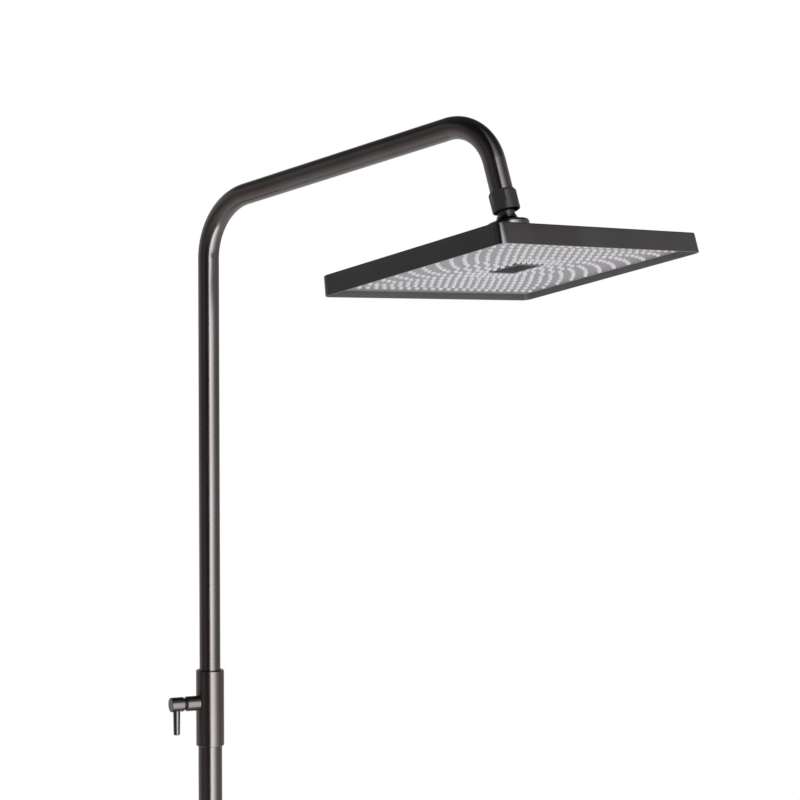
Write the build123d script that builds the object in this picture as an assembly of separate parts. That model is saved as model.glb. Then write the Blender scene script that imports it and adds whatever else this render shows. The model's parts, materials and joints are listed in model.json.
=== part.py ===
from build123d import *
import os
from math import atan, cos, degrees, radians, sin

# A telescopic shower column with a clamping lever, a bent arm and a rectangular
# overhead shower on a ball joint. Millimetres, +Z up, +Y into the wall, -Y into
# the room. The origin is on the wall face, at the middle of the wall plate.

# Wall bracket
WALL_OFFSET = 50.0          # wall face to the axis of the column
PLATE_R = 24.0
PLATE_THICK = 3.0
PLATE_HOLE_R = 2.6
PLATE_HOLE_SPACING = 34.0
ROSETTE_R = 27.5
ROSETTE_DEPTH = 13.0
ROSETTE_WALL = 1.2
BRACKET_ARM_R = 8.0
RING_R = 18.0
RING_HEIGHT = 26.0
LINER_WALL = 1.4

# Lower tube, and the union at its foot
LOWER_R = 12.55
LOWER_BORE_R = 11.5
LOWER_FOOT = -295.0         # height of the tube's lower end
UNION_R = 16.5
UNION_HEIGHT = 20.0
UNION_THREAD_R = 12.06      # minor radius of a G 3/4 thread
UNION_THREAD_LENGTH = 8.0
GASKET_R = 12.3

# Clamping sleeve on top of the lower tube
SLEEVE_TOP = 250.0
SLEEVE_LENGTH = 80.0
SLEEVE_R = 14.8
SLEEVE_BORE_R = 12.6
SLEEVE_LIP = 2.6
LOWER_TUBE_STOP = 50.0      # sleeve top down to the lower tube's upper end
BUSH_BORE_R = 11.08
WIPER_HEIGHT = 2.0

# Clamping lever. Its axis points at the photographed side, turned to the wall.
LEVER_TURN = 23.1
BOSS_DROP = 34.4            # sleeve top down to the lever's axis
BOSS_R = 7.8
BOSS_END = 27.7             # column axis to the boss's outer face
HUB_START = 29.3
HUB_END = 44.1
HUB_R = 7.6
HUB_CHAMFER = 1.3
GRUB_AT = 32.0              # column axis to the screw that holds the hub on its spindle
PIN_AT = 37.4
PIN_TOP_R = 3.75
PIN_TIP_R = 3.35
PIN_TIP = 32.1              # lever axis to the pin's free end
SPINDLE_R = 3.0
PAD_R = 4.2
PAD_GAP = 0.05
PAD_END = 16.7              # column axis to the pad's outer end

# Upper tube: riser, bend, rising arm, bend, and the pipe down to the head
TUBE_R = 11.0
TUBE_BORE_R = 10.0
ARM_RISE = 10.35            # degrees above level
PIPE_LEAN = 17.5            # degrees by which the pipe to the head leans out
RISER_CORNER = 489.7        # sleeve top to the meeting point of riser and arm
ARM_LENGTH = 380.0          # between the two meeting points
BEND_RADII = [67.5, 50.5]
PIPE_END = 74.5             # second meeting point down to the pipe's end
PLUG_DROP = 172.0           # sleeve top down to the plug's shoulder
PLUG_LENGTH = 30.0
PLUG_R = 11.35

# Ball joint, in frames at the ball's centre: Z along the pipe, or along the head's stem
BALL_DROP = 82.1            # second meeting point down to the ball's centre
BALL_R = 9.5
SEAT_INNER_R = 9.55
SEAT_OUTER_R = 10.9
CAVITY_R = 10.95
NUT_R = 13.3
NUT_TOP = 9.0
NUT_FOOT = -11.0
NUT_BORE_R = 12.0
GRIP_COUNT = 6
GRIP_WIDTH = 8.0
GRIP_DEPTH = 0.6
NECK_R = 8.5
STEM_R = 6.5
STUD_BORE_R = 4.0

# Overhead shower
HEAD_TILT = 11.7            # degrees by which the head leans out, less than its pipe
HEAD_X = 301.4
HEAD_Y = 216.8
RIM_DROP = 70.8             # ball centre down to the plane of the rim
SIDE_HEIGHT = 19.4
SIDE_DRAFT = 1.4            # how far each side leans in over its height
CORNER_R = 8.5
TOP_BEVEL = 1.6
SHELL_WALL = 2.0
ROOF_HEIGHT = 31.8          # rim to the flat middle of the roof
ROOF_FLAT_X = 96.0
ROOF_FLAT_Y = 68.0
TURRET_TOP_R = 20.8
TURRET_FOOT_R = 29.0
COLLAR_SEAT = -27.0         # underside of the collar, below the ball's centre
SPIGOT_R = 9.5
FACE_RECESS = 6.0
FACE_THICK = 2.5
MAT_THICK = 1.2
CHAMBER_X = 281.0
CHAMBER_Y = 198.0
CHAMBER_WALL = 5.0
CHAMBER_HEIGHT = 6.3
CUP_X = 41.0
CUP_Y = 37.6
CUP_DEPTH = 5.0

# Nozzles: rings of rounded rectangles round a closer block at the centre
NOZZLE_BASE_R = 1.9
NOZZLE_TIP_R = 1.3
NOZZLE_HEIGHT = 1.8
RING_COUNT = 6
OUTER_COLUMN = 132.0
COLUMN_PITCH = 11.24
OUTER_ROW = 87.8
ROW_PITCH = 10.9
SIDE_PITCH = 17.6           # spacing along a ring's short side, outermost ring
SIDE_PITCH_STEP = 1.15      # how much closer each next ring inwards is
BOW_LENGTH = 26.8           # stretch in which a ring's long side bends to its corner
BLOCK_PITCH_X = 8.07
BLOCK_PITCH_Y = 9.48

FIT = 0.05
O_RING_SIDES = 8
WALL = Location(Plane(origin=(0, 0, 0), x_dir=(1, 0, 0), z_dir=(0, -1, 0)))
COLUMN = Pos(0, -WALL_OFFSET, 0)
SLEEVE = Pos(0, -WALL_OFFSET, SLEEVE_TOP)


def turned(*outline):
    """Solid of revolution about Z from a closed outline of (radius, height) points."""
    return revolve(Plane.XZ * make_face(Polyline(*outline, close=True)), Axis.Z)


def ring(outer, inner, low, high):
    """Plain ring about Z between two heights."""
    return turned((inner, low), (outer, low), (outer, high), (inner, high))


def rod(radius, low, high):
    """Plain rod about Z between two heights."""
    return Pos(0, 0, low) * Cylinder(radius, high - low, align=(Align.CENTER, Align.CENTER, Align.MIN))


def o_ring(middle_r, wire_r, height):
    """Rubber ring, its round section simplified to flat sides."""
    return revolve(Plane.XZ * Pos(middle_r, height) * RegularPolygon(wire_r, O_RING_SIDES), Axis.Z)


def slab(x, y, corner, low, high):
    """Rounded rectangular plate between two heights."""
    return Pos(0, 0, low) * extrude(RectangleRounded(x, y, corner), high - low)


def hipped_prism(foot_x, foot_y, flat_x, flat_y, low, high):
    """Solid with four plane roof sides that rise from a rectangle to a smaller flat one."""
    across = make_face(Polyline((-foot_x / 2, low), (foot_x / 2, low), (flat_x / 2, high), (-flat_x / 2, high), close=True))
    along = make_face(Polyline((-foot_y / 2, low), (foot_y / 2, low), (flat_y / 2, high), (-flat_y / 2, high), close=True))
    return extrude(Plane.XZ * across, foot_y, both=True) & extrude(Plane.YZ * along, foot_x, both=True)


def lever_frame():
    """Frame on the column axis at the lever's height, Z outwards along the lever's axis."""
    out = (-cos(radians(LEVER_TURN)), sin(radians(LEVER_TURN)), 0)
    centre = (0, -WALL_OFFSET, SLEEVE_TOP - BOSS_DROP)
    return Location(Plane(origin=centre, x_dir=(0, 0, -1), z_dir=out))


def arm_points():
    """Meeting points of the upper tube's straight runs, and the ball's centre."""
    rise, lean = radians(ARM_RISE), radians(PIPE_LEAN)
    along = Vector(0, -cos(rise), sin(rise))
    down = Vector(0, -sin(lean), -cos(lean))
    first = Vector(0, -WALL_OFFSET, SLEEVE_TOP + RISER_CORNER)
    second = first + along * ARM_LENGTH
    return first, second, second + down * PIPE_END, second + down * BALL_DROP


def ball_frame(lean):
    """Frame at the ball's centre, its Z axis leaning towards the wall."""
    ball = arm_points()[3]
    return Location((ball.X, ball.Y, ball.Z), (-lean, 0, 0))


LEVER = lever_frame()
PIPE = ball_frame(PIPE_LEAN)
HEAD = ball_frame(HEAD_TILT)
RIM = HEAD * Pos(0, 0, -RIM_DROP)


# Wall bracket

def wall_plate():
    plate = rod(PLATE_R, 0, PLATE_THICK)
    for side in (-1, 1):
        plate -= Pos(side * PLATE_HOLE_SPACING / 2, 0, 0) * rod(PLATE_HOLE_R, -1, PLATE_THICK + 1)
    plate -= turned((0, -1), (6.3, -1), (6.3, 0), (3.1, PLATE_THICK), (3.1, 5), (0, 5))
    return WALL * plate


def wall_rosette():
    inner_r = ROSETTE_R - ROSETTE_WALL
    inner_top = ROSETTE_DEPTH - ROSETTE_WALL
    cup = turned(
        (inner_r, 0.2), (ROSETTE_R, 0.2), (ROSETTE_R, ROSETTE_DEPTH - 1.5),
        (ROSETTE_R - 1.5, ROSETTE_DEPTH), (BRACKET_ARM_R + FIT, ROSETTE_DEPTH),
        (BRACKET_ARM_R + FIT, inner_top), (inner_r, inner_top),
    )
    return WALL * cup


def bracket_arm():
    reach = WALL_OFFSET - RING_R + 3.0
    arm = turned(
        (0, PLATE_THICK), (11.0, PLATE_THICK), (11.0, PLATE_THICK + 3.0),
        (BRACKET_ARM_R, PLATE_THICK + 3.0), (BRACKET_ARM_R, reach), (0, reach),
    )
    arm -= turned(
        (0, PLATE_THICK - 1), (3.1, PLATE_THICK - 1), (3.1, PLATE_THICK + 0.1),
        (2.5, PLATE_THICK + 0.4), (2.5, PLATE_THICK + 14), (0, PLATE_THICK + 14),
    )
    return WALL * arm - COLUMN * rod(RING_R, -RING_HEIGHT, RING_HEIGHT)


def arm_screw():
    screw = turned(
        (0, 0.1), (5.9, 0.1), (2.95, PLATE_THICK), (2.45, PLATE_THICK + 0.2),
        (2.45, PLATE_THICK + 12.0), (0, PLATE_THICK + 12.0),
    )
    socket = extrude(RegularPolygon(2.0, 6), 1.8)
    return WALL * (screw - socket)


def bracket_ring():
    half = RING_HEIGHT / 2
    body = turned(
        (LOWER_R + LINER_WALL, -half), (RING_R - 1, -half), (RING_R, -half + 1),
        (RING_R, half - 1), (RING_R - 1, half), (LOWER_R + LINER_WALL, half),
    )
    screw_hole = Rot(90, 0, 0) * rod(2.1, LOWER_R - 2, RING_R + 1)
    return COLUMN * (body - screw_hole)


def ring_liner():
    half = RING_HEIGHT / 2
    outer = LOWER_R + LINER_WALL
    liner = ring(outer, LOWER_R, -half + 0.5, half - 0.5)
    return COLUMN * (liner - Rot(90, 0, 0) * rod(2.1, LOWER_R - 2, RING_R))


def ring_screw():
    screw = rod(2.0, LOWER_R + 0.1, RING_R - 0.6)
    socket = Pos(0, 0, RING_R - 2.4) * extrude(RegularPolygon(1.2, 6), 2.0)
    return COLUMN * (Rot(90, 0, 0) * (screw - socket))


# Lower tube and its foot

def lower_tube():
    return COLUMN * ring(LOWER_R, LOWER_BORE_R, LOWER_FOOT, SLEEVE_TOP - LOWER_TUBE_STOP)


def foot_nipple():
    foot = LOWER_FOOT
    nipple = turned(
        (8.0, foot - 14.0), (11.6, foot - 14.0), (11.6, foot - 11.0), (9.6, foot - 11.0),
        (9.6, foot - 3.0), (LOWER_R, foot - 3.0), (LOWER_R, foot), (LOWER_BORE_R, foot),
        (LOWER_BORE_R, foot + 16.0), (10.6, foot + 17.0), (8.0, foot + 17.0),
    )
    for height in (foot + 6.0, foot + 11.0):
        nipple -= ring(LOWER_BORE_R + 1, LOWER_BORE_R - 1.3, height - 1.0, height + 1.0)
    return COLUMN * nipple


def foot_o_rings():
    return [COLUMN * o_ring(LOWER_BORE_R - 0.65, 0.6, LOWER_FOOT + rise) for rise in (6.0, 11.0)]


def foot_union_nut():
    top = LOWER_FOOT - 4.0
    foot = top - UNION_HEIGHT
    body = turned(
        (UNION_THREAD_R, foot), (UNION_R - 0.8, foot), (UNION_R, foot + 0.8),
        (UNION_R, top - 3.0), (UNION_R - 3.0, top), (9.8, top), (9.8, top - 6.8),
        (GASKET_R + 0.1, top - 6.8), (GASKET_R + 0.1, foot + UNION_THREAD_LENGTH),
        (UNION_THREAD_R, foot + UNION_THREAD_LENGTH),
    )
    flats = extrude(RegularPolygon(15.2, 6, major_radius=False), UNION_HEIGHT - 8.0)
    collar = body & rod(UNION_R, foot, foot + 8.0)
    return COLUMN * (collar + (body & Pos(0, 0, foot + 8.0) * flats))


def foot_gasket():
    seat = LOWER_FOOT - 14.0
    return COLUMN * ring(GASKET_R, 8.2, seat - 2.0, seat)


# Clamping sleeve

def sleeve():
    body = turned(
        (SLEEVE_BORE_R, -SLEEVE_LENGTH), (SLEEVE_R - 0.5, -SLEEVE_LENGTH),
        (SLEEVE_R, -SLEEVE_LENGTH + 0.5), (SLEEVE_R, -0.6), (SLEEVE_R - 0.6, 0),
        (TUBE_R + 1.2, 0), (TUBE_R + 1.2, -SLEEVE_LIP), (SLEEVE_BORE_R, -SLEEVE_LIP),
    )
    boss = turned(
        (0, SLEEVE_BORE_R + 0.4), (BOSS_R, SLEEVE_BORE_R + 0.4), (BOSS_R, BOSS_END - 1.0),
        (BOSS_R - 1.0, BOSS_END), (0, BOSS_END),
    )
    inside = rod(SLEEVE_BORE_R, -SLEEVE_LENGTH, -SLEEVE_LIP)
    bore = turned(
        (0, 5), (PAD_R + FIT, 5), (PAD_R + FIT, BOSS_END - 7.0),
        (SPINDLE_R + FIT, BOSS_END - 7.0), (SPINDLE_R + FIT, BOSS_END + 1), (0, BOSS_END + 1),
    )
    grub_hole = Pos(0, 0, -SLEEVE_LENGTH + 12.0) * (Rot(-90, 0, 0) * rod(1.55, 10, SLEEVE_R + 1))
    shell = SLEEVE * (body - grub_hole)
    return shell + (LEVER * boss - SLEEVE * inside) - LEVER * bore


def sleeve_grub_screw():
    screw = rod(1.5, SLEEVE_BORE_R, SLEEVE_R - 0.3)
    socket = Pos(0, 0, SLEEVE_R - 1.2) * extrude(RegularPolygon(0.85, 6), 1.0)
    return SLEEVE * Pos(0, 0, -SLEEVE_LENGTH + 12.0) * (Rot(-90, 0, 0) * (screw - socket))


def wiper_ring():
    return SLEEVE * turned(
        (TUBE_R + FIT, -WIPER_HEIGHT), (TUBE_R + 1.15, -WIPER_HEIGHT),
        (TUBE_R + 1.15, 0.2), (TUBE_R + 0.4, 0.2), (TUBE_R + FIT, -0.4),
    )


def guide_bush():
    bush = ring(SLEEVE_BORE_R - 0.1, BUSH_BORE_R, -LOWER_TUBE_STOP + 0.5, -SLEEVE_LIP - 0.1)
    return SLEEVE * bush - LEVER * rod(PAD_R + 0.1, 5, SLEEVE_R)


def brake_pad():
    pad = LEVER * rod(PAD_R, TUBE_R - 2.5, PAD_END)
    return pad - COLUMN * rod(TUBE_R + PAD_GAP, 0, SLEEVE_TOP + 10)


# Lever: all of it turns about the boss

def clamp_spindle():
    tip = PAD_END + 0.6
    spindle = turned(
        (0, tip), (SPINDLE_R - 0.4, tip), (SPINDLE_R, tip + 0.5),
        (SPINDLE_R, HUB_START + 10.0), (0, HUB_START + 10.0),
    )
    return LEVER * (spindle - Pos(PIN_TOP_R - 1.0, 0, GRUB_AT) * Box(2, 4, 3))


def neck_washer():
    return LEVER * ring(5.6, SPINDLE_R + 0.1, BOSS_END + FIT, HUB_START)


def lever_hub():
    hub = turned(
        (SPINDLE_R, HUB_START), (HUB_R - HUB_CHAMFER, HUB_START), (HUB_R, HUB_START + HUB_CHAMFER),
        (HUB_R, HUB_END - 0.4), (HUB_R - 0.4, HUB_END), (0, HUB_END),
        (0, HUB_START + 10.2), (SPINDLE_R, HUB_START + 10.2),
    )
    pin_hole = Pos(0, 0, PIN_AT) * (Rot(0, 90, 0) * rod(2.2, 3.4, HUB_R + 1))
    grub_hole = Pos(0, 0, GRUB_AT) * (Rot(0, 90, 0) * rod(1.5, 0, HUB_R + 1))
    return LEVER * (hub - pin_hole - grub_hole)


def lever_pin():
    pin = turned(
        (0, 3.6), (2.2, 3.6), (2.2, HUB_R - 0.9), (PIN_TOP_R, HUB_R - 0.9),
        (PIN_TIP_R, PIN_TIP - 0.5), (PIN_TIP_R - 0.5, PIN_TIP), (0, PIN_TIP),
    )
    return LEVER * Pos(0, 0, PIN_AT) * (Rot(0, 90, 0) * pin) - lever_hub()


def hub_grub_screw():
    screw = rod(1.45, PIN_TOP_R - 2.0 + 0.1, HUB_R - 0.4)
    socket = Pos(0, 0, HUB_R - 1.8) * extrude(RegularPolygon(0.8, 6), 2.0)
    return LEVER * Pos(0, 0, GRUB_AT) * (Rot(0, 90, 0) * (screw - socket))


# Upper tube

def upper_tube():
    first, second, end, _ = arm_points()
    foot = Vector(0, -WALL_OFFSET, SLEEVE_TOP - PLUG_DROP)
    path = FilletPolyline(foot, first, second, end, radius=BEND_RADII)
    section = Plane(origin=foot, z_dir=(0, 0, 1)) * (Circle(TUBE_R) - Circle(TUBE_BORE_R))
    return sweep(section, path=path)


def tube_plug():
    low = -PLUG_DROP - PLUG_LENGTH
    plug = turned(
        (6.5, low), (8.6, low), (9.0, low + 0.4), (9.0, -PLUG_DROP - 19.0),
        (PLUG_R - 0.2, -PLUG_DROP - 19.0), (PLUG_R - 0.2, -PLUG_DROP - 2.0),
        (PLUG_R, -PLUG_DROP - 2.0), (PLUG_R, -PLUG_DROP), (TUBE_BORE_R, -PLUG_DROP),
        (TUBE_BORE_R, -PLUG_DROP + 18.0), (6.5, -PLUG_DROP + 18.0),
    )
    for drop in (6.0, 13.0):
        plug -= ring(PLUG_R + 1, PLUG_R - 2.0, -PLUG_DROP - drop - 1.3, -PLUG_DROP - drop + 1.3)
    plug -= ring(10, 8.3, low + 2.0, low + 3.1)
    return SLEEVE * plug


def plug_o_rings():
    middle = PLUG_R - 0.95
    return [SLEEVE * o_ring(middle, 1.0, -PLUG_DROP - drop) for drop in (6.0, 13.0)]


def plug_clip():
    low = -PLUG_DROP - PLUG_LENGTH
    clip = ring(10.4, 8.35, low + 2.05, low + 3.05)
    gap = Pos(9, 0, low + 2.5) * Box(6, 4, 4)
    return SLEEVE * (clip - gap)


def glide_ring():
    low = -PLUG_DROP - PLUG_LENGTH
    return SLEEVE * turned(
        (9.0 + FIT, low + 3.2), (10.9, low + 3.2), (11.4, low + 3.8),
        (11.4, -PLUG_DROP - 20.0), (10.9, -PLUG_DROP - 19.2), (9.0 + FIT, -PLUG_DROP - 19.2),
    )


# Ball joint between the pipe and the head

def pipe_nipple():
    end = BALL_DROP - PIPE_END
    nipple = turned(
        (7.5, 1.0), (7.5, end + 19.0), (8.6, end + 19.0), (8.6, end + 22.0),
        (TUBE_BORE_R, end + 22.0), (TUBE_BORE_R, end), (NUT_BORE_R - 0.1, end - 0.2),
        (NUT_BORE_R - 0.1, 0.0), (7.5, 0.0),
    )
    nipple -= ring(TUBE_BORE_R + 1, TUBE_BORE_R - 1.2, end + 9.0, end + 11.0)
    return PIPE * (nipple - Sphere(CAVITY_R))


def nipple_o_ring():
    return PIPE * o_ring(TUBE_BORE_R - 0.6, 0.55, BALL_DROP - PIPE_END + 10.0)


def filter_screen():
    low = BALL_DROP - PIPE_END + 19.1
    screen = rod(8.5, low, low + 2.4)
    for turn in range(6):
        screen -= Rot(0, 0, 60 * turn) * Pos(4.8, 0, 0) * rod(1.6, low - 1, low + 4)
    return PIPE * (screen - rod(1.6, low - 1, low + 4))


def union_nut():
    lip_top = NUT_TOP - 1.5
    body = turned(
        (TUBE_R + 0.15, NUT_TOP), (NUT_R - 1.4, NUT_TOP), (NUT_R, NUT_TOP - 2.4),
        (NUT_R, NUT_FOOT + 1.2), (NUT_R - 0.4, NUT_FOOT + 0.3), (NUT_R - 1.1, NUT_FOOT),
        (12.2, NUT_FOOT), (12.0, NUT_FOOT + 0.4), (12.0, -7.2), (9.9, -6.6), (9.6, -6.2),
        (9.6, -0.3), (NUT_BORE_R, -0.3), (NUT_BORE_R, lip_top), (TUBE_R + 0.15, lip_top),
    )
    grip = Pos(NUT_R - GRIP_DEPTH, 0, -3.5) * Box(
        4, GRIP_WIDTH, NUT_TOP + 4, align=(Align.MIN, Align.CENTER, Align.MIN)
    )
    for turn in range(GRIP_COUNT):
        body -= Rot(0, 0, 360 / GRIP_COUNT * (turn + 0.5)) * grip
    return PIPE * (body - Sphere(CAVITY_R))


def seat_ring(low, high):
    """Ring that hugs the ball, cut from a hollow sphere."""
    return PIPE * ((Sphere(SEAT_OUTER_R) - Sphere(SEAT_INNER_R)) & rod(CAVITY_R, low, high))


def ball_seat_upper():
    return seat_ring(3.2, 7.6)


def ball_seat_lower():
    return seat_ring(-4.5, -1.0)


def ball_stud():
    ball = Sphere(BALL_R) & rod(BALL_R, -BALL_R, 8.4)
    stem = turned(
        (0, -5.0), (STEM_R, -5.0), (STEM_R, -8.0), (NECK_R, -11.0), (NECK_R, -15.0),
        (6.6, -15.0), (6.6, COLLAR_SEAT + 0.5), (0, COLLAR_SEAT + 0.5),
    )
    return HEAD * (ball + stem - rod(STUD_BORE_R, COLLAR_SEAT, BALL_R))


# Overhead shower

def head_collar():
    seat = COLLAR_SEAT
    spigot_end = FACE_RECESS + FACE_THICK + MAT_THICK + CHAMBER_HEIGHT + 0.5 - RIM_DROP
    collar = turned(
        (6.65, -15.0), (9.2, -15.0), (9.9, -17.2), (11.6, -18.9), (14.2, -19.9), (17.6, -20.5),
        (19.5, -21.3), (20.3, -23.0), (20.3, seat + 0.7), (19.8, seat + 0.1), (SPIGOT_R, seat + 0.1),
        (SPIGOT_R, spigot_end + 1.0), (SPIGOT_R - 1.0, spigot_end), (5.0, spigot_end),
        (5.0, seat - 3.0), (6.65, seat - 3.0),
    )
    groove = ring(SPIGOT_R + 1, SPIGOT_R - 1.4, spigot_end + 3.0, spigot_end + 5.0)
    return HEAD * (collar - groove)


def spigot_o_ring():
    height = FACE_RECESS + FACE_THICK + MAT_THICK + CHAMBER_HEIGHT + 4.5
    return RIM * o_ring(SPIGOT_R - 0.7, 0.66, height)


def flow_regulator():
    seat = COLLAR_SEAT
    disc = ring(6.5, 3.0, seat - 2.9, seat + 0.4)
    for turn in range(3):
        disc += Rot(0, 0, 60 * turn) * Pos(0, 0, seat - 2.4) * Box(12.4, 0.9, 1.0)
    return HEAD * disc


def roof_block(inset):
    """The head's outside form, moved in by inset on every side: drafted sides, a bevelled edge, a low hipped roof."""
    low, high = SIDE_HEIGHT - inset, ROOF_HEIGHT - inset
    x, y, corner = HEAD_X - 2 * inset, HEAD_Y - 2 * inset, CORNER_R - inset
    draft = degrees(atan(SIDE_DRAFT / SIDE_HEIGHT))
    sides = extrude(RectangleRounded(x, y, corner), low - TOP_BEVEL, taper=draft)
    lean = SIDE_DRAFT * (low - TOP_BEVEL) / SIDE_HEIGHT
    x, y, corner = x - 2 * lean, y - 2 * lean, corner - lean
    bevel = Pos(0, 0, low - TOP_BEVEL) * extrude(RectangleRounded(x, y, corner), TOP_BEVEL, taper=45)
    x, y, corner = x - 2 * TOP_BEVEL, y - 2 * TOP_BEVEL, corner - TOP_BEVEL
    roof = hipped_prism(x, y, ROOF_FLAT_X, ROOF_FLAT_Y, low, high) & slab(x, y, corner, low, high)
    return sides + bevel + roof


def back_cover():
    turret_top = RIM_DROP + COLLAR_SEAT
    outside = roof_block(0)
    outside += turned(
        (0, ROOF_HEIGHT - 4), (TURRET_FOOT_R, ROOF_HEIGHT - 4), (TURRET_FOOT_R, ROOF_HEIGHT),
        (24.0, ROOF_HEIGHT + 3.0), (TURRET_TOP_R + 0.4, turret_top - 4.0),
        (TURRET_TOP_R, turret_top), (0, turret_top),
    )
    inside = roof_block(SHELL_WALL) + turned(
        (0, ROOF_HEIGHT - 6), (TURRET_TOP_R - SHELL_WALL, ROOF_HEIGHT - 6),
        (TURRET_TOP_R - SHELL_WALL, turret_top - 2.6), (0, turret_top - 2.6),
    )
    shell = outside - inside - rod(SPIGOT_R + 0.2, 10, turret_top + 1)
    return RIM * shell


def collar_gasket():
    return HEAD * ring(17.0, SPIGOT_R + 0.3, COLLAR_SEAT, COLLAR_SEAT + 0.1)


def chamber_plate():
    low = FACE_RECESS + FACE_THICK + MAT_THICK
    top = low + CHAMBER_HEIGHT
    plate = slab(CHAMBER_X, CHAMBER_Y, 6.0, low, top)
    plate -= slab(CHAMBER_X - 2 * CHAMBER_WALL, CHAMBER_Y - 2 * CHAMBER_WALL, 3.0, low - 1, top - 2.4)
    plate += rod(13.5, top - 1, top + 8.0)
    plate -= rod(SPIGOT_R + FIT, top - 1.5, top + 9)
    plate -= rod(5.0, low, top)
    for x, y in screw_points():
        plate -= Pos(x, y, 0) * rod(1.3, low - 1, top + 1)
    return RIM * plate


def chamber_seal():
    low = FACE_RECESS + FACE_THICK + MAT_THICK
    outer_x, outer_y = CHAMBER_X - 2 * CHAMBER_WALL - 0.2, CHAMBER_Y - 2 * CHAMBER_WALL - 0.2
    frame = slab(outer_x, outer_y, 2.8, low, low + 1.6)
    return RIM * (frame - slab(outer_x - 4, outer_y - 4, 1.2, low - 1, low + 2))


def screw_points():
    """Screws that hold the chamber plate to the face plate, round the edge."""
    x, y = CHAMBER_X / 2 - 2.5, CHAMBER_Y / 2 - 2.5
    points = [(side * x, part * y) for side in (-1, 1) for part in (-0.62, 0, 0.62)]
    return points + [(part * x, side * y) for side in (-1, 1) for part in (-0.72, 0, 0.72)]


def face_screws():
    low = FACE_RECESS + FACE_THICK - 1.6
    top = FACE_RECESS + FACE_THICK + MAT_THICK + CHAMBER_HEIGHT
    screw = turned((0, low), (1.2, low), (1.2, top), (2.3, top), (2.0, top + 1.4), (0, top + 1.4))
    return [RIM * Pos(x, y, 0) * screw for x, y in screw_points()]


def nozzle_mat():
    low = FACE_RECESS + FACE_THICK
    mat = slab(CHAMBER_X, CHAMBER_Y, 6.0, low, low + MAT_THICK)
    mat -= slab(CUP_X - 2, CUP_Y - 2, 1.0, low - 1, low + 2)
    for x, y in screw_points():
        mat -= Pos(x, y, 0) * rod(1.4, low - 1, low + 2)
    return RIM * mat


def spread(count, reach):
    """Evenly spaced values from -reach to reach."""
    return [reach * (2 * i / (count - 1) - 1) for i in range(count)]


def ring_points(number):
    """Nozzles of one ring: two long sides that bend in to their corners, two short ones."""
    column = OUTER_COLUMN - COLUMN_PITCH * (number - 1)
    row = OUTER_ROW - ROW_PITCH * (number - 1)
    side_pitch = SIDE_PITCH - SIDE_PITCH_STEP * (number - 1)
    side_count = 10 - number
    corner_row = side_pitch * (side_count + 1) / 2
    if number == RING_COUNT:
        xs = spread(9, 4 * BLOCK_PITCH_X) + [s * (column - COLUMN_PITCH * n) for s in (-1, 1) for n in range(4)]
    else:
        xs = spread(24 if number == 1 else 27 - 2 * number, column)
    points = []
    for x in xs:
        bend = max(0.0, (abs(x) - column + BOW_LENGTH) / BOW_LENGTH) ** 2
        y = row - (row - corner_row) * bend
        points += [(x, y), (x, -y)]
    for i in range(side_count):
        y = side_pitch * (i - (side_count - 1) / 2)
        points += [(column, y), (-column, y)]
    return points


def inner_points():
    """Nozzles between the innermost ring and the cup."""
    points = []
    for step, column in enumerate(OUTER_COLUMN - COLUMN_PITCH * n for n in (6, 7, 8)):
        count = 4 if step == 0 else 5
        pitch = 12.0 if step == 0 else 11.0
        points += [(s * column, pitch * (i - (count - 1) / 2)) for s in (-1, 1) for i in range(count)]
    for i in range(6):
        y = BLOCK_PITCH_Y * (i - 2.5)
        points += [(s * 4 * BLOCK_PITCH_X, y) for s in (-1, 1)]
        points += [(s * 3 * BLOCK_PITCH_X, y) for s in (-1, 1)]
    for x in spread(5, 2 * BLOCK_PITCH_X):
        points += [(x, s * 2.5 * BLOCK_PITCH_Y) for s in (-1, 1)]
    return points


def nozzle_points():
    points = inner_points()
    for number in range(1, RING_COUNT + 1):
        points += ring_points(number)
    return points


def face_plate():
    top = FACE_RECESS + FACE_THICK
    lean = SIDE_DRAFT * top / SIDE_HEIGHT
    edge = SHELL_WALL + lean + 0.15
    plate = slab(HEAD_X - 2 * edge, HEAD_Y - 2 * edge, CORNER_R - edge, FACE_RECESS, top)
    plate -= slab(CUP_X - 4, CUP_Y - 4, 1.0, 0, top + 1)
    for x, y in screw_points():
        plate -= Pos(x, y, 0) * rod(1.2, top - 1.6, top + 1)
    slope = degrees(atan((NOZZLE_BASE_R - NOZZLE_TIP_R) * cos(radians(30)) / NOZZLE_HEIGHT))
    base = Pos(0, 0, FACE_RECESS) * RegularPolygon(NOZZLE_BASE_R, 6)
    nozzle = extrude(base, NOZZLE_HEIGHT, dir=(0, 0, -1), taper=slope)
    return RIM * (plate + [Pos(x, y, 0) * nozzle for x, y in nozzle_points()])


def centre_cup():
    low = FACE_RECESS - 1.0
    frame = slab(CUP_X, CUP_Y, 1.5, low, FACE_RECESS)
    frame += slab(CUP_X - 4.2, CUP_Y - 4.2, 1.0, low, FACE_RECESS + CUP_DEPTH)
    return RIM * (frame - slab(CUP_X - 7, CUP_Y - 7, 1.0, low - 1, FACE_RECESS + CUP_DEPTH - 1.2))


PIECES = [
    wall_plate, wall_rosette, bracket_arm, arm_screw, bracket_ring, ring_liner, ring_screw,
    lower_tube, foot_nipple, foot_o_rings, foot_union_nut, foot_gasket,
    sleeve, sleeve_grub_screw, wiper_ring, guide_bush, brake_pad,
    clamp_spindle, neck_washer, lever_hub, lever_pin, hub_grub_screw,
    upper_tube, tube_plug, plug_o_rings, plug_clip, glide_ring,
    pipe_nipple, nipple_o_ring, filter_screen, union_nut, ball_seat_upper, ball_seat_lower,
    ball_stud, head_collar, collar_gasket, spigot_o_ring, flow_regulator,
    back_cover, chamber_plate, chamber_seal, face_screws, nozzle_mat, face_plate, centre_cup,
]


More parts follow.
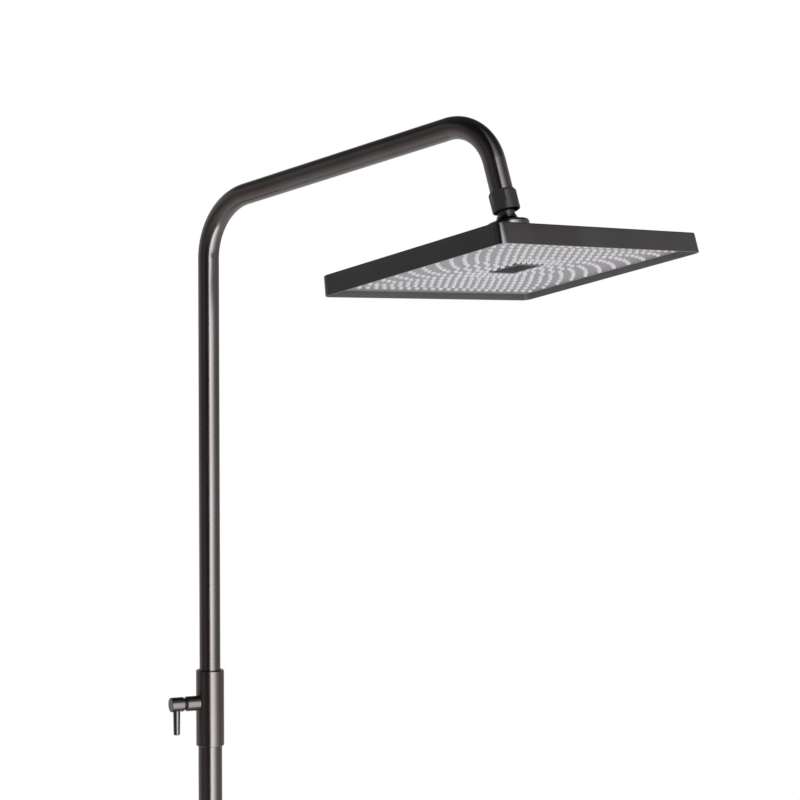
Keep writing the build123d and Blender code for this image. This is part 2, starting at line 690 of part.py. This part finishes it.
def main():
    os.makedirs("parts", exist_ok=True)
    for piece in PIECES:
        shape = piece()
        if isinstance(shape, list):
            shape = Compound(children=shape)
        export_step(shape, f"parts/{piece.__name__}.step")
        print(piece.__name__, round(shape.volume, 1))


main()
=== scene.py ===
import json
from math import atan2, cos, pi, radians, sin, tan

import bmesh
import bpy
from mathutils import Matrix, Vector


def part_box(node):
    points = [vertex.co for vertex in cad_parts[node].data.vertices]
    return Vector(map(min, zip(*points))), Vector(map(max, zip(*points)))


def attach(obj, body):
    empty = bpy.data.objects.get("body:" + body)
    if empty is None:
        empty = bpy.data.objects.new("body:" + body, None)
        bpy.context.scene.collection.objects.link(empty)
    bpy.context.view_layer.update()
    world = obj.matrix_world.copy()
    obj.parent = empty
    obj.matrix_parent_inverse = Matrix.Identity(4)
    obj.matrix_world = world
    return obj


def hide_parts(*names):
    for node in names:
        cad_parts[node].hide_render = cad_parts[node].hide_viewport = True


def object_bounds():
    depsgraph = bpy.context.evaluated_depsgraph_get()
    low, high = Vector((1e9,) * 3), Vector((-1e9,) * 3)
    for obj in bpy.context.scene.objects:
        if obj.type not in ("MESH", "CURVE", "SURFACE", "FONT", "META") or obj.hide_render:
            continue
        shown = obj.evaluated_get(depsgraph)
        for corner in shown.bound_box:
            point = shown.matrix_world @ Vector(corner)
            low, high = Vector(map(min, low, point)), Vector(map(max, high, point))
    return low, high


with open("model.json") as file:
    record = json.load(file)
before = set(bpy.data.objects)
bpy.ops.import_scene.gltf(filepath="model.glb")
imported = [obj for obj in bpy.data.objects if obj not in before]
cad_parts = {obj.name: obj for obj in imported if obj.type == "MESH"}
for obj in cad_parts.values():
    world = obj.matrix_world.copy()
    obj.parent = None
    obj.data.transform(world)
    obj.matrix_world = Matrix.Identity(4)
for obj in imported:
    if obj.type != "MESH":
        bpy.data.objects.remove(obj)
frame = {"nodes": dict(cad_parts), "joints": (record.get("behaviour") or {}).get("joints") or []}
cad_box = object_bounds()

MM = 0.001
NODES = frame["nodes"]
JOINTS = {joint["name"]: joint for joint in frame["joints"]}

# Ball joint and the head's lean, from the frame
BALL = Vector(JOINTS["head_tilt"]["pos_m"])
HEAD_UP = Vector(JOINTS["head_spin"]["axis"])
HEAD_TILT = atan2(HEAD_UP.y, HEAD_UP.z)

# The photograph's camera
CAMERA_PLACE = Vector((-1.6317, -1.7613, 0.6060))
CAMERA_YAW = radians(48.52)
CAMERA_PITCH = radians(-1.72)
CAMERA_ROLL = radians(0.06)
CAMERA_LENS = 100.62        # millimetres on a sensor 36 mm wide
SENSOR_WIDTH = 36

# Upper tube
TUBE_R = 11 * MM
TUBE_BORE_R = 10 * MM
ARM_RISE = radians(10.35)
PIPE_LEAN = radians(17.5)
ARM_LENGTH = 380 * MM       # between the meeting points of the straight runs
BEND_RADII = (67.5 * MM, 50.5 * MM)
BALL_DROP = 82.1 * MM       # second meeting point down to the ball's centre
PIPE_END = 74.5 * MM        # second meeting point down to the pipe's end
TUBE_SIDES = 96
BEND_STEPS = 40

# Overhead shower, measured up from the plane of its rim
HEAD_X = 301.4 * MM
HEAD_Y = 216.8 * MM
CORNER_R = 8.5 * MM
LEAST_CORNER_R = 2 * MM
CORNER_STEPS = 12
RIM_DROP = 70.8 * MM        # ball's centre down to the rim
SIDE_HEIGHT = 19.4 * MM
SIDE_DRAFT = 1.4 * MM       # how far the sides come in over their height
TOP_ROUND = 1.2 * MM
WALL = 2 * MM
ROOF_X = 96 * MM            # where the roof meets the turret
ROOF_Y = 68 * MM
ROOF_HEIGHT = 31.8 * MM
TURRET_R = 20.8 * MM
TURRET_HEIGHT = 43.8 * MM
TURRET_HOLE_R = 9.7 * MM
FACE_RECESS = 6 * MM
FACE_THICK = 2.5 * MM
PLATE_EDGE = 2.8 * MM       # outside of the head in to the edge of the face plate
PLATE_SOFT = 0.5 * MM       # softened edge of the face plate
CUP_X = 41 * MM
CUP_Y = 37.6 * MM
CUP_FRAME = 2 * MM          # how far the cup's frame covers the plate round the opening

# Nozzles: rings of rounded rectangles round a closer block at the centre
NOZZLE_BASE_R = 2.1 * MM
NOZZLE_TIP_R = 1.7 * MM
NOZZLE_HEIGHT = 1.8 * MM
NOZZLE_SIDES = 14
RING_COUNT = 6
OUTER_COLUMN = 132 * MM
COLUMN_PITCH = 11.24 * MM
OUTER_ROW = 87.8 * MM
ROW_PITCH = 10.9 * MM
SIDE_PITCH = 17.6 * MM
SIDE_PITCH_STEP = 1.15 * MM
BOW_LENGTH = 26.8 * MM
BLOCK_PITCH_X = 8.07 * MM
BLOCK_PITCH_Y = 9.48 * MM
SIDE_COLUMN_PITCH = 12 * MM
INNER_COLUMN_PITCH = 11 * MM

# Studio
FLOOR_DROP = 1.0            # lowest point of the object down to the floor
FLOOR_REACH = 1.3
PLAIN_LEVEL = 0.85          # light from all round
ROOM_LEVEL = 5.0            # brightness of the room that the metal reflects
DARK_TONE = (1.08, 0.98, 0.95)      # the dark parts of that room are a little brown
DARK_BELOW = 0.1

# The room's level round the object, by degrees to the right of the direction to the camera
BELT = [
    (-180, 0.10), (-128, 0.10), (-100, 0.065), (-82, 0.035), (-74, 0.018), (-52, 0.035),
    (-30, 0.012), (-6, 0.006), (5, 0.02), (14, 0.9), (24, 1.0), (36, 0.68), (48, 0.5),
    (62, 0.18), (84, 0.08), (120, 0.07), (180, 0.10),
]
# Its level by height, from 0 straight down to 1 straight up: dark ceiling, and pale ground
CEILING_SHADE = [(0.35, 1.0), (0.68, 1.0), (0.78, 0.2), (1.0, 0.08)]
GROUND = [(0.0, 0.15), (0.07, 0.08), (0.14, 0.053), (0.36, 0.02), (0.42, 0.0)]

HEAD = Matrix.Translation(BALL) @ Matrix.Rotation(-HEAD_TILT, 4, "X")
RIM = HEAD @ Matrix.Translation((0, 0, -RIM_DROP))


# Materials

def material(name, colour, roughness, metallic=0.0):
    """New material and its shader, with what is the same all over set on the shader itself."""
    made = bpy.data.materials.new(name)
    made.use_nodes = True
    shader = made.node_tree.nodes["Principled BSDF"]
    shader.inputs["Base Color"].default_value = (*colour, 1)
    shader.inputs["Roughness"].default_value = roughness
    shader.inputs["Metallic"].default_value = metallic
    made.diffuse_color = (*colour, 1)
    return made, shader


def add(made, kind):
    return made.node_tree.nodes.new(kind)


def link(made, source, target):
    made.node_tree.links.new(source, target)


def stretched(made, coordinates, scale):
    """One of the texture coordinates, stretched by a scale on each axis."""
    place = add(made, "ShaderNodeTexCoord")
    stretch = add(made, "ShaderNodeMapping")
    stretch.inputs["Scale"].default_value = scale
    link(made, place.outputs[coordinates], stretch.inputs["Vector"])
    return stretch.outputs["Vector"]


def noise(made, place, scale, detail=2.0):
    grain = add(made, "ShaderNodeTexNoise")
    grain.inputs["Scale"].default_value = scale
    grain.inputs["Detail"].default_value = detail
    link(made, place, grain.inputs["Vector"])
    return grain.outputs["Fac"]


def spread_over(made, factor, low, high):
    """A value that runs from low to high as the factor runs over its usual middle."""
    spread_node = add(made, "ShaderNodeMapRange")
    spread_node.inputs["From Min"].default_value = 0.3
    spread_node.inputs["From Max"].default_value = 0.7
    spread_node.inputs["To Min"].default_value = low
    spread_node.inputs["To Max"].default_value = high
    link(made, factor, spread_node.inputs["Value"])
    return spread_node.outputs["Result"]


def tint(made, shader, factor, dark, light):
    """Base colour that varies between two colours."""
    mix = add(made, "ShaderNodeMix")
    mix.data_type = "RGBA"
    link(made, factor, mix.inputs[0])
    mix.inputs[6].default_value = (*dark, 1)
    mix.inputs[7].default_value = (*light, 1)
    link(made, mix.outputs[2], shader.inputs["Base Color"])


def bump(made, shader, factor, distance, strength):
    relief = add(made, "ShaderNodeBump")
    relief.inputs["Strength"].default_value = strength
    relief.inputs["Distance"].default_value = distance
    link(made, factor, relief.inputs["Height"])
    link(made, relief.outputs["Normal"], shader.inputs["Normal"])


def brushed(name, colour, roughness, coordinates, scale, relief=0.000012):
    """Dark brushed metal: fine grain lines along one direction, and a faint drift of tone."""
    made, shader = material(name, colour, roughness, metallic=1.0)
    grain = noise(made, stretched(made, coordinates, scale), 1.0, detail=3.0)
    link(made, spread_over(made, grain, roughness - 0.05, roughness + 0.07), shader.inputs["Roughness"])
    drift = noise(made, stretched(made, "Object", DRIFT), 1.0)
    light = [c * 1.12 for c in colour]
    dark = [colour[0] * 0.92, colour[1] * 0.86, colour[2] * 0.84]
    tint(made, shader, spread_over(made, drift, 0, 1), dark, light)
    bump(made, shader, grain, relief, 0.5)
    return made


def moulded(name, colour, roughness):
    """Moulded plastic or rubber with a fine surface."""
    made, shader = material(name, colour, roughness)
    place = stretched(made, "Object", EVEN)
    fine = noise(made, place, 900.0)
    drift = noise(made, place, 25.0)
    tint(made, shader, drift, [c * 0.9 for c in colour], [c * 1.08 for c in colour])
    link(made, spread_over(made, fine, roughness - 0.04, roughness + 0.04), shader.inputs["Roughness"])
    bump(made, shader, fine, 0.00001, 0.4)
    return made


def turned_metal(name, colour, roughness):
    """Plain turned metal."""
    made, shader = material(name, colour, roughness, metallic=1.0)
    fine = noise(made, stretched(made, "Object", EVEN), 700.0)
    link(made, spread_over(made, fine, roughness - 0.06, roughness + 0.06), shader.inputs["Roughness"])
    bump(made, shader, fine, 0.000006, 0.4)
    return made


GRAPHITE = (0.154, 0.149, 0.149)
COOL_GRAPHITE = (0.141, 0.148, 0.158)
EVEN = (1, 1, 1)
DRIFT = (14, 14, 5)
ALONG_Z = (900, 900, 9)
ALONG_PIPE = (62, 9, 1)
ACROSS_Z = (400, 400, 900)
SMOOTH = (60, 60, 60)

upright_metal = brushed("graphite_upright", GRAPHITE, 0.20, "Object", ALONG_Z)
pipe_metal = brushed("graphite_pipe", GRAPHITE, 0.20, "UV", ALONG_PIPE)
level_metal = brushed("graphite_level", GRAPHITE, 0.22, "Object", ACROSS_Z, 0.000003)
shell_paint = brushed("graphite_shell", COOL_GRAPHITE, 0.2, "Object", SMOOTH, 0.000003)
nut_paint = moulded("satin_black", (0.032, 0.032, 0.033), 0.33)
black_plastic = moulded("black_plastic", (0.012, 0.012, 0.012), 0.45)
plate_plastic = moulded("spray_plate_grey", (0.35, 0.335, 0.36), 0.42)
nozzle_silicone = moulded("nozzle_white", (0.9, 0.89, 0.92), 0.5)
shell_inside = moulded("shell_inside", (0.125, 0.122, 0.125), 0.5)
cup_plastic = moulded("cup_grey", (0.12, 0.12, 0.125), 0.35)
pale_plastic = moulded("pale_plastic", (0.68, 0.68, 0.68), 0.45)
rubber = moulded("black_rubber", (0.012, 0.012, 0.012), 0.65)
brass = turned_metal("brass", (0.55, 0.42, 0.2), 0.3)
steel = turned_metal("steel", (0.5, 0.5, 0.5), 0.3)

LOOKS = {
    "lower_tube": upright_metal, "sleeve": upright_metal, "lever_hub": level_metal,
    "lever_pin": upright_metal, "bracket_ring": upright_metal, "bracket_arm": level_metal,
    "wall_rosette": level_metal, "foot_union_nut": upright_metal, "upper_tube": pipe_metal,
    "union_nut": nut_paint, "head_collar": shell_paint, "back_cover": shell_paint,
    "face_plate": plate_plastic, "centre_cup": cup_plastic, "nozzle_mat": nozzle_silicone,
    "foot_nipple": brass, "tube_plug": brass, "pipe_nipple": brass, "ball_stud": nut_paint,
    "guide_bush": black_plastic, "glide_ring": black_plastic, "neck_washer": black_plastic,
    "brake_pad": black_plastic, "ball_seat_upper": black_plastic,
    "ball_seat_lower": black_plastic, "ring_liner": black_plastic,
    "wiper_ring": black_plastic, "chamber_plate": black_plastic,
    "filter_screen": pale_plastic, "flow_regulator": pale_plastic,
    "foot_o_rings": rubber, "foot_gasket": rubber, "plug_o_rings": rubber,
    "nipple_o_ring": rubber, "spigot_o_ring": rubber, "collar_gasket": rubber,
    "chamber_seal": rubber, "wall_plate": steel, "arm_screw": steel, "ring_screw": steel,
    "sleeve_grub_screw": steel, "clamp_spindle": steel, "hub_grub_screw": steel,
    "plug_clip": steel, "face_screws": steel,
}
for node_name, node in NODES.items():
    for slot in node.material_slots:
        slot.material = LOOKS[node_name]


# Mesh code that the new pieces share

def mesh_from(made, name, *looks):
    """Finished mesh with its materials."""
    made.normal_update()
    mesh = bpy.data.meshes.new(name)
    made.to_mesh(mesh)
    made.free()
    for look in looks:
        mesh.materials.append(look)
    return mesh


def skin(made, low, high, smooth=True, look=0):
    """Faces between two closed loops of points."""
    for j in range(len(low)):
        k = (j + 1) % len(low)
        face = made.faces.new([low[j], low[k], high[k], high[j]])
        face.smooth = smooth
        face.material_index = look


def rounded_rectangle(x, y, corner, steps):
    """Outline points, counterclockwise seen from above; a circle where the corner is half the size."""
    points = []
    for quarter, (sx, sy) in enumerate(((1, 1), (-1, 1), (-1, -1), (1, -1))):
        for i in range(steps + 1):
            t = (quarter + i / steps) * pi / 2
            points.append((sx * (x / 2 - corner) + corner * cos(t), sy * (y / 2 - corner) + corner * sin(t)))
    return points


def head_loops(made, levels, steps):
    """Loops of points on the head, each from its size in x and y, corner radius and height."""
    return [
        [made.verts.new(RIM @ Vector((px, py, height))) for px, py in rounded_rectangle(x, y, corner, steps)]
        for x, y, corner, height in levels
    ]


# Upper tube

def tube_path():
    """Centre line of the upper tube: points and directions, the bends in small steps."""
    second = BALL + BALL_DROP * Vector((0, sin(PIPE_LEAN), cos(PIPE_LEAN)))
    up = Vector((0, 0, 1))
    along = Vector((0, -cos(ARM_RISE), sin(ARM_RISE)))
    down = Vector((0, -sin(PIPE_LEAN), -cos(PIPE_LEAN)))
    first = second - ARM_LENGTH * along
    foot = Vector((0, first.y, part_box("upper_tube")[0].z))
    bends = ((first, up, along, BEND_RADII[0]), (second, along, down, BEND_RADII[1]))
    points = [(foot, up)]
    for corner, start, end, radius in bends:
        turn = start.angle(end)
        inward = (end - start * start.dot(end)).normalized()
        centre = corner - start * radius * tan(turn / 2) + inward * radius
        for i in range(BEND_STEPS + 1):
            angle = turn * i / BEND_STEPS
            points.append((
                centre - inward * radius * cos(angle) + start * radius * sin(angle),
                start * cos(angle) + inward * sin(angle),
            ))
    points.append((second + down * PIPE_END, down))
    return points


def tube_mesh():
    """Pipe swept along its path. Surface coordinates: the turn round it, and the length along it."""
    path = tube_path()
    lengths = [0.0]
    for (start, _), (end, _) in zip(path, path[1:]):
        lengths.append(lengths[-1] + (end - start).length)
    turns = [2 * pi * i / TUBE_SIDES for i in range(TUBE_SIDES)]
    side = Vector((1, 0, 0))
    made = bmesh.new()
    grain = made.loops.layers.uv.new("grain")

    def loop_at(place, direction, radius):
        other = direction.cross(side)
        return [made.verts.new(place + radius * (side * cos(t) + other * sin(t))) for t in turns]

    outer = [loop_at(place, direction, TUBE_R) for place, direction in path]
    inner = [loop_at(place, direction, TUBE_BORE_R) for place, direction in path]
    for loops, faces_bore in ((outer, False), (inner, True)):
        for i, (low, high) in enumerate(zip(loops, loops[1:])):
            for j in range(TUBE_SIDES):
                k = (j + 1) % TUBE_SIDES
                corners = [(low[j], j, i), (low[k], j + 1, i), (high[k], j + 1, i + 1), (high[j], j, i + 1)]
                if faces_bore:
                    corners.reverse()
                face = made.faces.new([corner[0] for corner in corners])
                face.smooth = True
                for loop, (_, turn, step) in zip(face.loops, corners):
                    loop[grain].uv = (turn / TUBE_SIDES, lengths[step])
    skin(made, inner[0], outer[0], smooth=False)
    skin(made, outer[-1], inner[-1], smooth=False)
    mesh = mesh_from(made, "tube_surface", pipe_metal)
    mesh.set_sharp_from_angle(angle=radians(35))
    return mesh


# Head

def shell_mesh():
    """Shell of the head: drafted sides, a low hipped roof and a round turret, with its inside."""
    top = SIDE_HEIGHT - TOP_ROUND

    def side(inset, height):
        """Outline at a height, a distance in from the drafted outer face."""
        back = inset + height * SIDE_DRAFT / SIDE_HEIGHT
        return HEAD_X - 2 * back, HEAD_Y - 2 * back, max(CORNER_R - back, LEAST_CORNER_R), height

    def round_at(radius, height):
        return 2 * radius, 2 * radius, radius, height

    outside = [
        side(0.6 * MM, 0), side(0.18 * MM, 0.18 * MM), side(0, 0.6 * MM), side(0, top / 2), side(0, top),
        side(0.3 * TOP_ROUND, top + 0.7 * TOP_ROUND), side(TOP_ROUND, SIDE_HEIGHT),
        (ROOF_X, ROOF_Y, 12 * MM, ROOF_HEIGHT), round_at(29 * MM, ROOF_HEIGHT + 0.1 * MM),
        round_at(24 * MM, ROOF_HEIGHT + 3 * MM), round_at(21.2 * MM, TURRET_HEIGHT - 4 * MM),
        round_at(TURRET_R, TURRET_HEIGHT - 0.3 * MM), round_at(TURRET_R - 0.3 * MM, TURRET_HEIGHT),
        round_at(TURRET_HOLE_R, TURRET_HEIGHT),
    ]
    inside = [
        round_at(TURRET_HOLE_R, TURRET_HEIGHT - WALL), round_at(18 * MM, TURRET_HEIGHT - WALL),
        round_at(20 * MM, 33.5 * MM), (ROOF_X - 6 * MM, ROOF_Y - 6 * MM, 10 * MM, ROOF_HEIGHT - WALL),
        side(3.4 * MM, SIDE_HEIGHT - WALL), side(WALL, 15.5 * MM), side(WALL, 9 * MM), side(WALL, 0.5 * MM),
    ]
    lip = [side(1.8 * MM, 0.15 * MM), side(1.4 * MM, 0)]

    made = bmesh.new()
    loops = head_loops(made, outside + inside + lip, CORNER_STEPS)
    for i, (low, high) in enumerate(zip(loops, loops[1:] + loops[:1])):
        is_inside = len(outside) <= i < len(outside) + len(inside)
        skin(made, low, high, look=1 if is_inside else 0)
    mesh = mesh_from(made, "shell", shell_paint, shell_inside)
    mesh.set_sharp_from_angle(angle=radians(50))
    return mesh


def plate_mesh():
    """Face plate: flat, with softened edges and the opening for the centre cup."""
    x, y = HEAD_X - 2 * PLATE_EDGE, HEAD_Y - 2 * PLATE_EDGE
    corner = CORNER_R - PLATE_EDGE
    opening = (CUP_X - 2 * CUP_FRAME, CUP_Y - 2 * CUP_FRAME, 1 * MM)
    back = FACE_RECESS + FACE_THICK
    levels = [
        (x, y, corner, back), (x, y, corner, FACE_RECESS + PLATE_SOFT),
        (x - 0.6 * PLATE_SOFT, y - 0.6 * PLATE_SOFT, corner, FACE_RECESS + 0.3 * PLATE_SOFT),
        (x - 2 * PLATE_SOFT, y - 2 * PLATE_SOFT, corner, FACE_RECESS),
        (*opening, FACE_RECESS), (*opening, back),
    ]
    made = bmesh.new()
    loops = head_loops(made, levels, CORNER_STEPS // 2)
    for low, high in zip(loops, loops[1:] + loops[:1]):
        skin(made, high, low, smooth=False)
    return mesh_from(made, "spray_plate", plate_plastic)


# Nozzles

def spread(count, reach):
    """Evenly spaced values from -reach to reach."""
    return [reach * (2 * i / (count - 1) - 1) for i in range(count)]


def ring_points(number):
    """Nozzles of one ring: two long sides that bend in to their corners, two short ones."""
    column = OUTER_COLUMN - COLUMN_PITCH * (number - 1)
    row = OUTER_ROW - ROW_PITCH * (number - 1)
    side_pitch = SIDE_PITCH - SIDE_PITCH_STEP * (number - 1)
    side_count = 10 - number
    corner_row = side_pitch * (side_count + 1) / 2
    if number == RING_COUNT:
        xs = spread(9, 4 * BLOCK_PITCH_X)
        xs += [s * (column - COLUMN_PITCH * n) for s in (-1, 1) for n in range(4)]
    else:
        xs = spread(24 if number == 1 else 27 - 2 * number, column)
    points = []
    for x in xs:
        bend = max(0.0, (abs(x) - column + BOW_LENGTH) / BOW_LENGTH) ** 2
        y = row - (row - corner_row) * bend
        points += [(x, y), (x, -y)]
    for i in range(side_count):
        y = side_pitch * (i - (side_count - 1) / 2)
        points += [(column, y), (-column, y)]
    return points


def inner_points():
    """Nozzles between the innermost ring and the cup."""
    points = []
    for step, column in enumerate(OUTER_COLUMN - COLUMN_PITCH * n for n in (6, 7, 8)):
        count = 4 if step == 0 else 5
        pitch = SIDE_COLUMN_PITCH if step == 0 else INNER_COLUMN_PITCH
        points += [(s * column, pitch * (i - (count - 1) / 2)) for s in (-1, 1) for i in range(count)]
    for i in range(6):
        y = BLOCK_PITCH_Y * (i - 2.5)
        points += [(s * n * BLOCK_PITCH_X, y) for n in (4, 3) for s in (-1, 1)]
    for x in spread(5, 2 * BLOCK_PITCH_X):
        points += [(x, s * 2.5 * BLOCK_PITCH_Y) for s in (-1, 1)]
    return points


def nozzle_mesh():
    """All nozzles: round, slightly tapered, with a rounded tip and a small hole."""
    profile = [
        (NOZZLE_BASE_R * 1.15, 0.0), (NOZZLE_BASE_R, -0.25 * MM), (NOZZLE_TIP_R * 1.12, -1.2 * MM),
        (NOZZLE_TIP_R, -1.6 * MM), (NOZZLE_TIP_R * 0.75, -NOZZLE_HEIGHT),
        (NOZZLE_TIP_R * 0.4, -NOZZLE_HEIGHT), (NOZZLE_TIP_R * 0.35, -1.2 * MM),
    ]
    turns = [2 * pi * i / NOZZLE_SIDES for i in range(NOZZLE_SIDES)]
    places = inner_points()
    for number in range(1, RING_COUNT + 1):
        places += ring_points(number)
    made = bmesh.new()
    for x, y in places:
        middle = Vector((x, y, FACE_RECESS))
        loops = [
            [made.verts.new(RIM @ (middle + Vector((r * cos(t), r * sin(t), height)))) for t in turns]
            for r, height in profile
        ]
        for low, high in zip(loops, loops[1:]):
            skin(made, high, low)
        made.faces.new(loops[-1][::-1])
    return mesh_from(made, "nozzles", nozzle_silicone)


# New pieces in place

def new_piece(name, mesh, body, slot, *nodes):
    """Visual piece that rides with a body, and stands in for CAD nodes where any are named."""
    piece = bpy.data.objects.new(name, mesh)
    bpy.context.scene.collection.objects.link(piece)
    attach(piece, body)
    if nodes:
        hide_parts(*nodes)
    return piece


def softened(name, width, segments):
    """Small rounds on a node's sharp edges, so that they catch the light."""
    rounds = NODES[name].modifiers.new("rounds", "BEVEL")
    rounds.width = width
    rounds.segments = segments
    rounds.limit_method = "ANGLE"
    rounds.angle_limit = radians(28)
    rounds.harden_normals = False


new_piece("bent_tube", tube_mesh(), "riser", "dark_brushed", "upper_tube")
shell = new_piece("shell", shell_mesh(), "head", "dark_shell", "back_cover")
shell.modifiers.new("even_shading", "WEIGHTED_NORMAL").keep_sharp = True
new_piece("spray_plate", plate_mesh(), "head", "spray_face", "face_plate")
new_piece("nozzles", nozzle_mesh(), "head", "silicone")
softened("sleeve", 0.2 * MM, 2)


# Camera

def camera():
    lens = bpy.data.cameras.new("camera")
    lens.lens = CAMERA_LENS
    lens.sensor_width = SENSOR_WIDTH
    lens.clip_start = 0.05
    lens.clip_end = 60
    eye = bpy.data.objects.new("camera", lens)
    bpy.context.scene.collection.objects.link(eye)
    forward = Vector((
        sin(CAMERA_YAW) * cos(CAMERA_PITCH), cos(CAMERA_YAW) * cos(CAMERA_PITCH), sin(CAMERA_PITCH),
    ))
    turn = forward.to_track_quat("-Z", "Y").to_matrix().to_4x4()
    eye.matrix_world = (
        Matrix.Translation(CAMERA_PLACE) @ turn @ Matrix.Rotation(-CAMERA_ROLL, 4, "Z")
    )
    bpy.context.scene.camera = eye


# Studio

def studio():
    """White to the camera, plain light from all round, and a room for the metal to reflect."""
    world = bpy.data.worlds.new("studio")
    bpy.context.scene.world = world
    world.use_nodes = True
    tree = world.node_tree
    tree.nodes.clear()
    place = tree.nodes.new("ShaderNodeTexCoord")
    split = tree.nodes.new("ShaderNodeSeparateXYZ")
    tree.links.new(place.outputs["Generated"], split.inputs[0])

    def part_along(axis):
        dot = tree.nodes.new("ShaderNodeVectorMath")
        dot.operation = "DOT_PRODUCT"
        tree.links.new(place.outputs["Generated"], dot.inputs[0])
        dot.inputs[1].default_value = axis
        return dot.outputs["Value"]

    def combine(operation, first, second):
        node = tree.nodes.new("ShaderNodeMath")
        node.operation = operation
        for socket, value in zip(node.inputs, (first, second)):
            if isinstance(value, float):
                socket.default_value = value
            else:
                tree.links.new(value, socket)
        return node.outputs[0]

    def ramp(factor, stops):
        node = tree.nodes.new("ShaderNodeValToRGB")
        tree.links.new(factor, node.inputs[0])
        marks = node.color_ramp.elements
        while len(marks) < len(stops):
            marks.new(0.5)
        for mark, (place_on, level) in zip(marks, stops):
            tone = DARK_TONE if level < DARK_BELOW else (1, 1, 1)
            mark.position = place_on
            mark.color = (level * tone[0], level * tone[1], level * tone[2], 1)
        return node.outputs["Color"]

    def blend(kind, first, second):
        node = tree.nodes.new("ShaderNodeMix")
        node.data_type = "RGBA"
        node.blend_type = kind
        node.inputs[0].default_value = 1
        tree.links.new(first, node.inputs[6])
        tree.links.new(second, node.inputs[7])
        return node.outputs[2]

    def background(strength):
        node = tree.nodes.new("ShaderNodeBackground")
        node.inputs["Color"].default_value = (1, 1, 1, 1)
        node.inputs["Strength"].default_value = strength
        return node

    def choose(ray, otherwise, for_ray):
        node = tree.nodes.new("ShaderNodeMixShader")
        tree.links.new(rays.outputs[ray], node.inputs[0])
        tree.links.new(otherwise, node.inputs[1])
        tree.links.new(for_ray, node.inputs[2])
        return node.outputs[0]

    # Turn of a direction about the vertical: 0.5 towards the camera, more to the camera's right
    toward = Vector((-sin(CAMERA_YAW), -cos(CAMERA_YAW), 0))
    right = Vector((cos(CAMERA_YAW), -sin(CAMERA_YAW), 0))
    turn = combine("ARCTAN2", part_along(right), part_along(toward))
    turn = combine("ADD", combine("DIVIDE", turn, 2 * pi), 0.5)
    height = combine("ADD", combine("MULTIPLY", split.outputs["Z"], 0.5), 0.5)

    belt = ramp(turn, [(angle / 360 + 0.5, level) for angle, level in BELT])
    lit = blend("MULTIPLY", belt, ramp(height, CEILING_SHADE))
    room = background(ROOM_LEVEL)
    tree.links.new(blend("ADD", lit, ramp(height, GROUND)), room.inputs["Color"])

    rays = tree.nodes.new("ShaderNodeLightPath")
    unseen = choose("Is Glossy Ray", background(PLAIN_LEVEL).outputs[0], room.outputs[0])
    seen = choose("Is Camera Ray", unseen, background(1.0).outputs[0])
    out = tree.nodes.new("ShaderNodeOutputWorld")
    tree.links.new(seen, out.inputs[0])


def floor():
    """Plain pale floor under the object, white to the camera."""
    height = cad_box[0].z - FLOOR_DROP
    mesh = bpy.data.meshes.new("floor")
    corners = [
        (sx * FLOOR_REACH, sy * FLOOR_REACH, height) for sx, sy in ((-1, -1), (1, -1), (1, 1), (-1, 1))
    ]
    mesh.from_pydata(corners, [], [(0, 1, 2, 3)])
    plane = bpy.data.objects.new("floor", mesh)
    bpy.context.scene.collection.objects.link(plane)
    pale = moulded("pale_floor", (0.75, 0.75, 0.75), 0.7)
    tree = pale.node_tree
    white = tree.nodes.new("ShaderNodeEmission")
    rays = tree.nodes.new("ShaderNodeLightPath")
    either = tree.nodes.new("ShaderNodeMixShader")
    tree.links.new(rays.outputs["Is Camera Ray"], either.inputs[0])
    tree.links.new(tree.nodes["Principled BSDF"].outputs[0], either.inputs[1])
    tree.links.new(white.outputs[0], either.inputs[2])
    tree.links.new(either.outputs[0], tree.nodes["Material Output"].inputs["Surface"])
    mesh.materials.append(pale)


camera()
studio()
floor()
bpy.context.scene.view_settings.view_transform = "Standard"
